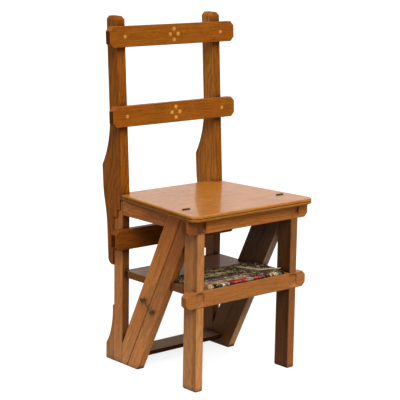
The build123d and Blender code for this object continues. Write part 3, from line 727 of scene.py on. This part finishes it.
carpet_low, carpet_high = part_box("carpet")
carpet_half = carpet_high.x
carpet_front_half = carpet_half - FRONT_NARROWING
carpet_lies_z = carpet_low.z + PILE_CORE / 2 + CARPET_LIFT
carpet_lie_top = carpet_lies_z + PILE_CORE / 2
fold_back_y = carpet_low.y + FOLD_DEPTH
fold_top_z = carpet_high.z - FOLD_TOP_INSET - PILE_CORE / 2
fold_radius = (fold_top_z - carpet_lies_z) / 2
fold_front_y = carpet_low.y + FOLD_FRONT_INSET + PILE_CORE / 2 + fold_radius


def held(value, low, high):
    return max(low, min(high, value))


def progress(value, start, end):
    """How far a value has come from start to end, between 0 and 1."""
    return held((value - start) / (end - start), 0.0, 1.0)


def unevenness(x, y, kind):
    waves_x, waves_y, layer = CARPET_NOISES[kind]
    return noise.noise(Vector((waves_x * x, waves_y * y, layer)))


def triangle_wave(value):
    return abs((value % 1.0) - 0.5) * 2


def carpet_line():
    """The carpet's section from the turned-under end, round the front fold, to the frayed rear edge."""
    line = []
    for row in range(TURNED_UNDER_ROWS):
        line.append(Vector((0, fold_back_y - TURNED_UNDER_INSET - KNOT * row, carpet_lies_z)))
    for step in range(FOLD_STEPS + 1):
        angle = -math.pi / 2 - math.pi * step / FOLD_STEPS
        y = fold_front_y + fold_radius * math.cos(angle)
        z = carpet_lies_z + fold_radius + fold_radius * math.sin(angle)
        line.append(Vector((0, y, z)))
    fall_start = fold_back_y - FALL_LEAD
    y = fold_front_y + KNOT
    while y < carpet_high.y - REAR_INSET:
        fall = progress(y, fall_start, fall_start + FALL_DEPTH)
        smooth = fall * fall * (3 - 2 * fall)
        line.append(Vector((0, y, fold_top_z + (carpet_lies_z - fold_top_z) * smooth)))
        y += KNOT
    return line


def half_width(y):
    """The carpet's half width, narrower at its front corners where the legs stand, and uneven."""
    reach = progress(y, carpet_low.y, carpet_low.y + TAPER_DEPTH)
    ragged = EDGE_RAGGEDNESS * unevenness(EDGE_NOISE_X, y, "edges")
    return carpet_front_half + (carpet_half - carpet_front_half) * reach - EDGE_INSET + ragged


# Rows of dye behind the fold, each name with the share of the depth where it ends
FIELD_ROW_SHARES = (("umber", 0.05), ("clay", 0.24), ("slate", 0.4), ("black", 0.54), ("straw", 0.74),
                    ("umber", 0.82), ("straw", 0.93), ("umber", 1.3))
ROW_DRIFT = 0.1
# The dye of each row's lozenges, and how small they are
MOTIFS = {"umber": ("garnet", 0.75), "clay": ("straw", 0.62), "slate": ("cream", 0.7),
          "black": ("sage", 0.82), "straw": ("umber", 0.72)}
LOZENGE_WIDTH = 31 * MM
LOZENGE_ROW_SHIFT = 3
LOZENGE_SLANT = 0.5
LOZENGE_LIMIT = 0.45
HALF_WAVE = 0.5
DARKER_RIGHT = 30 * MM
DARKNESS_LIMIT = -0.1


def field_dye(x, y):
    """The ground of the carpet behind its fold: uneven rows, with a row of small lozenges in each."""
    drift = ROW_DRIFT * unevenness(x, y, "rows")
    depth = (y - fold_back_y) / (carpet_high.y - fold_back_y) + drift
    start = 0.0
    for dye, end in FIELD_ROW_SHARES:
        if depth < end:
            break
        start = end
    motif, size = MOTIFS[dye]
    along = triangle_wave(x / LOZENGE_WIDTH + LOZENGE_ROW_SHIFT * start)
    inward = triangle_wave(HALF_WAVE + (depth - start) / (end - start))
    if along + LOZENGE_SLANT * inward > size + LOZENGE_LIMIT:
        dye = motif
    if x > DARKER_RIGHT and unevenness(x, y, "darkness") > DARKNESS_LIMIT:
        return "umber"
    return dye


# Blocks of dye along the fold, from the left end: each name with its share of the width
FOLD_BLOCK_SHARES = (
    ("tan", 0.035), ("cream", 0.03), ("black", 0.015), ("navy", 0.06), ("cream", 0.02), ("slate", 0.02),
    ("cream", 0.02), ("pale_sage", 0.07), ("black", 0.02), ("crimson", 0.2), ("pale_sage", 0.09),
    ("garnet", 0.025), ("crimson", 0.045), ("black", 0.01), ("crimson", 0.06), ("sage", 0.015),
    ("black", 0.03), ("garnet", 0.045), ("cream", 0.1), ("slate", 0.04), ("navy", 0.05),
)
# The long red block spreads on the upper rows of the fold, and a rosy line runs through it
RED_BLOCK = (0.25, 0.53)
RED_BLOCK_FIRST_ROW = 5
RED_BLOCK_ROSE_ROW = 7
ROSE_ROWS = (4, 5)
# The lowest rows are deeper in colour
DEEPER_ROWS = 3
DEEPER_DYES = {"crimson": "garnet", "pale_sage": "sage"}


def fold_dye(x, row):
    """The border on the fold: blocks along it, with a rosy line through the red ones."""
    reach = (x + carpet_front_half) / (2 * carpet_front_half)
    if row >= RED_BLOCK_FIRST_ROW and RED_BLOCK[0] < reach < RED_BLOCK[1]:
        return "rose" if row == RED_BLOCK_ROSE_ROW else "crimson"
    at = 0.0
    for dye, share in FOLD_BLOCK_SHARES:
        at += share
        if reach < at:
            break
    if dye in ("crimson", "garnet") and row in ROSE_ROWS:
        return "rose"
    return DEEPER_DYES.get(dye, dye) if row < DEEPER_ROWS else dye


STRAY_DYES = ("umber", "black", "cream", "tan", "straw")
STRAY_SHARE_FOLD = 0.03
STRAY_SHARE_FIELD = 0.16
BORDER_INSET = 2 * MM
KNOT_LIGHT = (0.6, 1.5)
CLUMP_LIGHT = 1.2


def knot_dye(x, y, row):
    """The dye of one knot: its row's or block's, or now and then a stray one, more or less faded."""
    dye = fold_dye(x, row) if y < fold_back_y - BORDER_INSET else field_dye(x, y)
    if CARPET_DRAW.random() < (STRAY_SHARE_FIELD if y > fold_back_y else STRAY_SHARE_FOLD):
        dye = CARPET_DRAW.choice(STRAY_DYES)
    light = CARPET_DRAW.uniform(*KNOT_LIGHT) * (1 + CLUMP_LIGHT * unevenness(x, y, "clumps"))
    return shade(DYES[dye], light)


def add_mesh(name, corners, faces, dyes, look, smooth=True):
    mesh = bpy.data.meshes.new(name)
    mesh.from_pydata(corners, [], faces)
    layer = mesh.color_attributes.new("dye", "FLOAT_COLOR", "POINT")
    for spot, dye in zip(layer.data, dyes):
        spot.color = (*dye, 1.0)
    mesh.materials.append(look)
    if smooth:
        mesh.shade_smooth()
    else:
        mesh.shade_flat()
    return add_object(name, mesh)


wool = carpet_wool("carpet_wool")
line = carpet_line()
columns = round(2 * carpet_half / KNOT)
wide = columns + 1

# The middle of the cloth, knot by knot
LUMP = 0.7 * MM
ground = []
ground_dyes = []
normals = []
for row, spot in enumerate(line):
    before = line[max(row - 1, 0)]
    after = line[min(row + 1, len(line) - 1)]
    way = (after - before).normalized()
    outward = Vector((0, -way.z, way.y))
    half = half_width(spot.y)
    for column in range(wide):
        x = half * (2 * column / columns - 1)
        lump = LUMP * unevenness(x, spot.y, "lumps")
        ground.append(spot + Vector((x, 0, 0)) + outward * lump)
        ground_dyes.append(knot_dye(x, spot.y, row - TURNED_UNDER_ROWS))
        normals.append(outward)

# The cloth's two skins, joined round the rim
BACKING = shade(DYES["tan"], 0.5)
count = len(ground)
skins = []
skin_dyes = []
for sign, dyes in ((1, ground_dyes), (-1, [BACKING] * count)):
    skins += [place + normal * sign * PILE_CORE / 2 for place, normal in zip(ground, normals)]
    skin_dyes += dyes
faces = []
for row in range(len(line) - 1):
    for column in range(columns):
        corner = row * wide + column
        quad = (corner, corner + 1, corner + 1 + wide, corner + wide)
        faces.append(quad)
        faces.append(tuple(count + i for i in reversed(quad)))
rim = [*range(wide), *(row * wide + columns for row in range(1, len(line))),
       *((len(line) - 1) * wide + column for column in range(columns - 1, -1, -1)),
       *(row * wide for row in range(len(line) - 2, 0, -1))]
for a, b in zip(rim, rim[1:] + rim[:1]):
    faces.append((b, a, count + a, count + b))
carpet = add_mesh("carpet_cloth", skins, faces, skin_dyes, wool)


# Tufts and yarns, each of them three-sided

SIDES = 3
# Painted shade at each tuft's root and painted light at its tip
TUFT_ROOT_SHADE = 0.75
TUFT_TIP_HIGHLIGHT = 1.15
YARN_LIGHT = (0.8, 1.1)
YARN_TAPER = 0.5


class Strands:
    """Many small tufts and yarns that make up one mesh."""

    def __init__(self):
        self.corners = []
        self.faces = []
        self.dyes = []

    def tuft(self, root, outward, dye, tall, thick, lean):
        """A tuft with its tip pushed over."""
        first = len(self.corners)
        forwards = outward.cross(X)
        turn = CARPET_DRAW.uniform(0, math.tau)
        # The root corners carry painted shade, and the tip painted light
        for side in range(SIDES):
            self.corners.append(root + thick * around(turn + math.tau * side / SIDES, X, forwards))
            self.dyes.append(shade(dye, TUFT_ROOT_SHADE))
        pushed = lean * around(CARPET_DRAW.uniform(0, math.tau), X, forwards)
        self.corners.append(root + outward * tall + pushed)
        self.dyes.append(shade(dye, TUFT_TIP_HIGHLIGHT))
        for side in range(SIDES):
            self.faces.append((first + side, first + (side + 1) % SIDES, first + SIDES))
        self.faces.append((first + 2, first + 1, first))

    def yarn(self, points, thick, dye):
        """A yarn along its points, thinner towards its tip."""
        first = len(self.corners)
        for number, point in enumerate(points):
            radius = thick * (1 - YARN_TAPER * number / (len(points) - 1))
            for side in range(SIDES):
                self.corners.append(point + radius * around(math.tau * side / SIDES, X, Z))
                self.dyes.append(shade(dye, CARPET_DRAW.uniform(*YARN_LIGHT)))
        last = first + SIDES * (len(points) - 1)
        for ring in range(first, last, SIDES):
            for side in range(SIDES):
                a = ring + side
                b = ring + (side + 1) % SIDES
                self.faces.append((a, b, b + SIDES, a + SIDES))
        self.faces.append((first + 2, first + 1, first))
        self.faces.append((last, last + 1, last + 2))

    def piece(self, name, smooth=True):
        return add_mesh(name, self.corners, self.faces, self.dyes, wool, smooth)


# The pile: one short tuft a knot, longer and looser towards the frayed rear edge

FIRST_PILE_ROW = 5
FIRM_DEPTH = 30 * MM
TUFT_JITTER = (-0.4, 0.4)
TUFT_SINK = 0.4 * MM
TUFT_THICK = 1.2 * MM
TUFT_TALL = 1.3 * MM
TUFT_LEAN = 0.6 * MM
LOOSE_MISSING_SHARE = 0.25
LOOSE_TALL = 3.2 * MM
LOOSE_LEAN = 3.5 * MM
tufts = Strands()
for row in range(FIRST_PILE_ROW, len(line)):
    loose = progress(line[row].y, fold_back_y + FIRM_DEPTH, carpet_high.y)
    for index in range(row * wide, (row + 1) * wide):
        jitter = Vector((CARPET_DRAW.uniform(*TUFT_JITTER) * KNOT, 0, 0))
        if loose and CARPET_DRAW.random() < LOOSE_MISSING_SHARE * loose:
            continue
        root = ground[index] + normals[index] * (PILE_CORE / 2 - TUFT_SINK) + jitter
        tall = TUFT_TALL + LOOSE_TALL * loose * CARPET_DRAW.random()
        lean = TUFT_LEAN + LOOSE_LEAN * loose
        tufts.tuft(root, normals[index], ground_dyes[index], tall, TUFT_THICK, lean)
pile = tufts.piece("carpet_pile", smooth=False)


# Frayed threads at the rear edge, with the ranges of their length, drift and arch in millimetres

THREADS = 120
THREAD_PLACE = (0.1, 0.9)
THREAD_SIDE_INSET = 4 * MM
THREAD_REAR_INSET = 2 * MM
THREAD_DYES = ("straw", "cream", "umber", "black", "umber", "sage")
THREAD_LENGTH = (2.5, 7.5)
THREAD_DRIFT = (-3, 3)
THREAD_ARCH = (0.5, 4.5)
THREAD_ARCH_TURN = 2.6
THREAD_DROP = 1.0 * MM
THREAD_THICK = 0.55 * MM
THREAD_SHARES = (0, 0.25, 0.5, 0.75, 1.0)
thread_half = carpet_half - THREAD_SIDE_INSET
threads = Strands()
for number in range(THREADS):
    x = (2 * (number + CARPET_DRAW.uniform(*THREAD_PLACE)) / THREADS - 1) * thread_half
    dye = DYES[CARPET_DRAW.choice(THREAD_DYES)]
    length = CARPET_DRAW.uniform(*THREAD_LENGTH) * MM
    drift = CARPET_DRAW.uniform(*THREAD_DRIFT) * MM
    arch = CARPET_DRAW.uniform(*THREAD_ARCH) * MM
    start = Vector((x, line[-1].y - THREAD_REAR_INSET, carpet_lies_z))
    points = []
    for share in THREAD_SHARES:
        rise = arch * math.sin(THREAD_ARCH_TURN * share) - THREAD_DROP * share
        points.append(start + Vector((drift * share * share, length * share, rise)))
    threads.yarn(points, THREAD_THICK, dye)
fringe = threads.piece("carpet_fringe")


# Loose yarns that have pulled out of the pile and lie over it, with the range of their stride in millimetres

LOOSE_YARNS = 34
YARN_STEPS = 7
YARN_ACROSS = (-0.85, 0.8)
YARN_FRONT_MARGIN = 8 * MM
YARN_REAR_MARGIN = 14 * MM
YARN_HEADING = (-0.5, 0.5)
YARN_REVERSED_SHARE = 0.5
YARN_TURNING = (-0.35, 0.35)
YARN_STRIDE = (3.5, 7.0)
YARN_FORWARD_SHARE = 0.6
YARN_DYES = ("straw", "straw", "cream", "tan", "sage")
YARN_RISE = 0.6 * MM
YARN_ARCH = 2.2 * MM
YARN_THICK = 0.75 * MM
YARN_SIDE_INSET = 6 * MM
YARN_REAR_INSET = 2 * MM
yarn_half = carpet_half - YARN_SIDE_INSET
yarn_rear = carpet_high.y - YARN_REAR_INSET
loose_yarns = Strands()
for _ in range(LOOSE_YARNS):
    x = CARPET_DRAW.uniform(*YARN_ACROSS) * carpet_half
    y = CARPET_DRAW.uniform(fold_back_y + YARN_FRONT_MARGIN, carpet_high.y - YARN_REAR_MARGIN)
    heading = CARPET_DRAW.uniform(*YARN_HEADING)
    if CARPET_DRAW.random() < YARN_REVERSED_SHARE:
        heading += math.pi
    turning = CARPET_DRAW.uniform(*YARN_TURNING)
    stride = CARPET_DRAW.uniform(*YARN_STRIDE) * MM
    dye = DYES[CARPET_DRAW.choice(YARN_DYES)]
    points = []
    for step in range(YARN_STEPS):
        arch = math.sin(math.pi * step / (YARN_STEPS - 1))
        points.append(Vector((x, y, carpet_lie_top + YARN_RISE + YARN_ARCH * arch)))
        x = held(x + stride * math.cos(heading), -yarn_half, yarn_half)
        y = held(y + YARN_FORWARD_SHARE * stride * math.sin(heading), fold_back_y, yarn_rear)
        heading += turning
    loose_yarns.yarn(points, YARN_THICK, dye)


# A hank of pale warp that has come away over the right end: its path, spread and rise in millimetres

HANK_PATH = ((58, -48), (68, -66), (76, -86), (84, -106), (93, -124), (104, -137), (118, -145), (136, -150))
HANK_YARNS = 6
HANK_STEP = (1.7, 0.9)
HANK_SPREAD = (-1, 1)
HANK_RISE = (0.8, 2.6)
# Where the path starts to climb on the fold, and where it has reached the fold's top
HANK_CLIMB = (-118, -143)
HANK_THICK = 1.3 * MM
HANK_LIGHTS = (0.85, 1.1)
for number in range(HANK_YARNS):
    points = []
    for path_x, path_y in HANK_PATH:
        x = path_x + HANK_STEP[0] * number + CARPET_DRAW.uniform(*HANK_SPREAD)
        y = path_y + HANK_STEP[1] * number + CARPET_DRAW.uniform(*HANK_SPREAD)
        climbed = (fold_top_z - carpet_lies_z) * progress(path_y, *HANK_CLIMB)
        z = carpet_lie_top + climbed + CARPET_DRAW.uniform(*HANK_RISE) * MM
        points.append(Vector((x * MM, y * MM, z)))
    loose_yarns.yarn(points, HANK_THICK, shade(DYES["cream"], HANK_LIGHTS[number % 2]))
yarns = loose_yarns.piece("carpet_loose_yarns")

for piece in (carpet, pile, fringe, yarns):
    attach(piece, "front_frame")
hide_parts("carpet")


# Camera, fitted to the straight edges of the chair

AZIMUTH, ELEVATION, ROLL = (math.radians(angle) for angle in (-40.773, 11.405, 0.938))
CAMERA_PLACE = (-2.323251, -2.68189, 1.15086)
FOCAL_PIXELS = 1411.852
IMAGE_PIXELS = 400
SENSOR = 36.0
CLIP_END = 100.0


def way_towards(azimuth, elevation):
    """The way from the chair to an azimuth, 0 in front and counted towards +X, and an elevation."""
    return Vector((math.sin(azimuth) * math.cos(elevation), -math.cos(azimuth) * math.cos(elevation),
                   math.sin(elevation)))


toward = way_towards(AZIMUTH, ELEVATION)
level_right = (-toward).cross(Z).normalized()
level_up = level_right.cross(-toward).normalized()
right = around(ROLL, level_right, level_up)
up = around(ROLL, level_up, -level_right)
camera_data = bpy.data.cameras.new("camera")
camera_data.sensor_width = SENSOR
camera_data.lens = SENSOR * FOCAL_PIXELS / IMAGE_PIXELS
camera_data.clip_end = CLIP_END
camera = add_object("camera", camera_data)
camera_turn = Matrix((right, up, toward)).transposed().to_4x4()
camera.matrix_world = Matrix.Translation(CAMERA_PLACE) @ camera_turn
bpy.context.scene.camera = camera


# Floor and light: white to the eye and in reflections, and plain soft studio light on the chair

WHITE = (1.0, 1.0, 1.0, 1.0)
FLOOR_GREY = (0.3, 0.3, 0.3, 1.0)
FLOOR_GLOW = 0.84
FLOOR_SIZE = 60.0
AMBIENT = 0.32


def seen_or_mirrored(tree):
    """1 for rays from the eye, a reflection or a clear material, and 0 for light that falls on things."""
    path = tree.nodes.new("ShaderNodeLightPath")
    total = path.outputs["Is Camera Ray"]
    for name in ("Is Glossy Ray", "Is Transmission Ray"):
        either = tree.nodes.new("ShaderNodeMath")
        either.operation = "MAXIMUM"
        tree.links.new(total, either.inputs[0])
        tree.links.new(path.outputs[name], either.inputs[1])
        total = either.outputs[0]
    return total


bpy.ops.mesh.primitive_plane_add(size=FLOOR_SIZE, location=(0, 0, 0))
floor = bpy.context.object
floor.name = "floor"
floor_look = Look("floor_look")
glow = floor_look.math("MULTIPLY", seen_or_mirrored(floor_look.tree), FLOOR_GLOW)
floor_look.finish(Base_Color=FLOOR_GREY, Roughness=1.0, Specular_IOR_Level=0.0, Emission_Color=WHITE,
                  Emission_Strength=glow)
floor.data.materials.append(floor_look.material)

world = bpy.data.worlds.new("world")
bpy.context.scene.world = world
world.use_nodes = True
world_tree = world.node_tree
sky = world_tree.nodes["Background"]
sky.inputs["Color"].default_value = WHITE
brightness = world_tree.nodes.new("ShaderNodeMapRange")
brightness.inputs["To Min"].default_value = AMBIENT
world_tree.links.new(seen_or_mirrored(world_tree), brightness.inputs["Value"])
world_tree.links.new(brightness.outputs["Result"], sky.inputs["Strength"])


def soft_sun(name, azimuth, elevation, level, spread):
    """Soft, even light from one side: level is the share of its colour that a face square to it shows."""
    data = bpy.data.lights.new(name, "SUN")
    data.energy = math.pi * level
    data.angle = math.radians(spread)
    come_from = way_towards(math.radians(azimuth), math.radians(elevation))
    lamp = add_object(name, data)
    lamp.rotation_euler = come_from.to_track_quat("Z", "Y").to_euler()


soft_sun("key_light", azimuth=-30, elevation=45, level=0.95, spread=40)
soft_sun("back_light", azimuth=115, elevation=62, level=0.3, spread=40)

bpy.context.scene.view_settings.view_transform = "Standard"
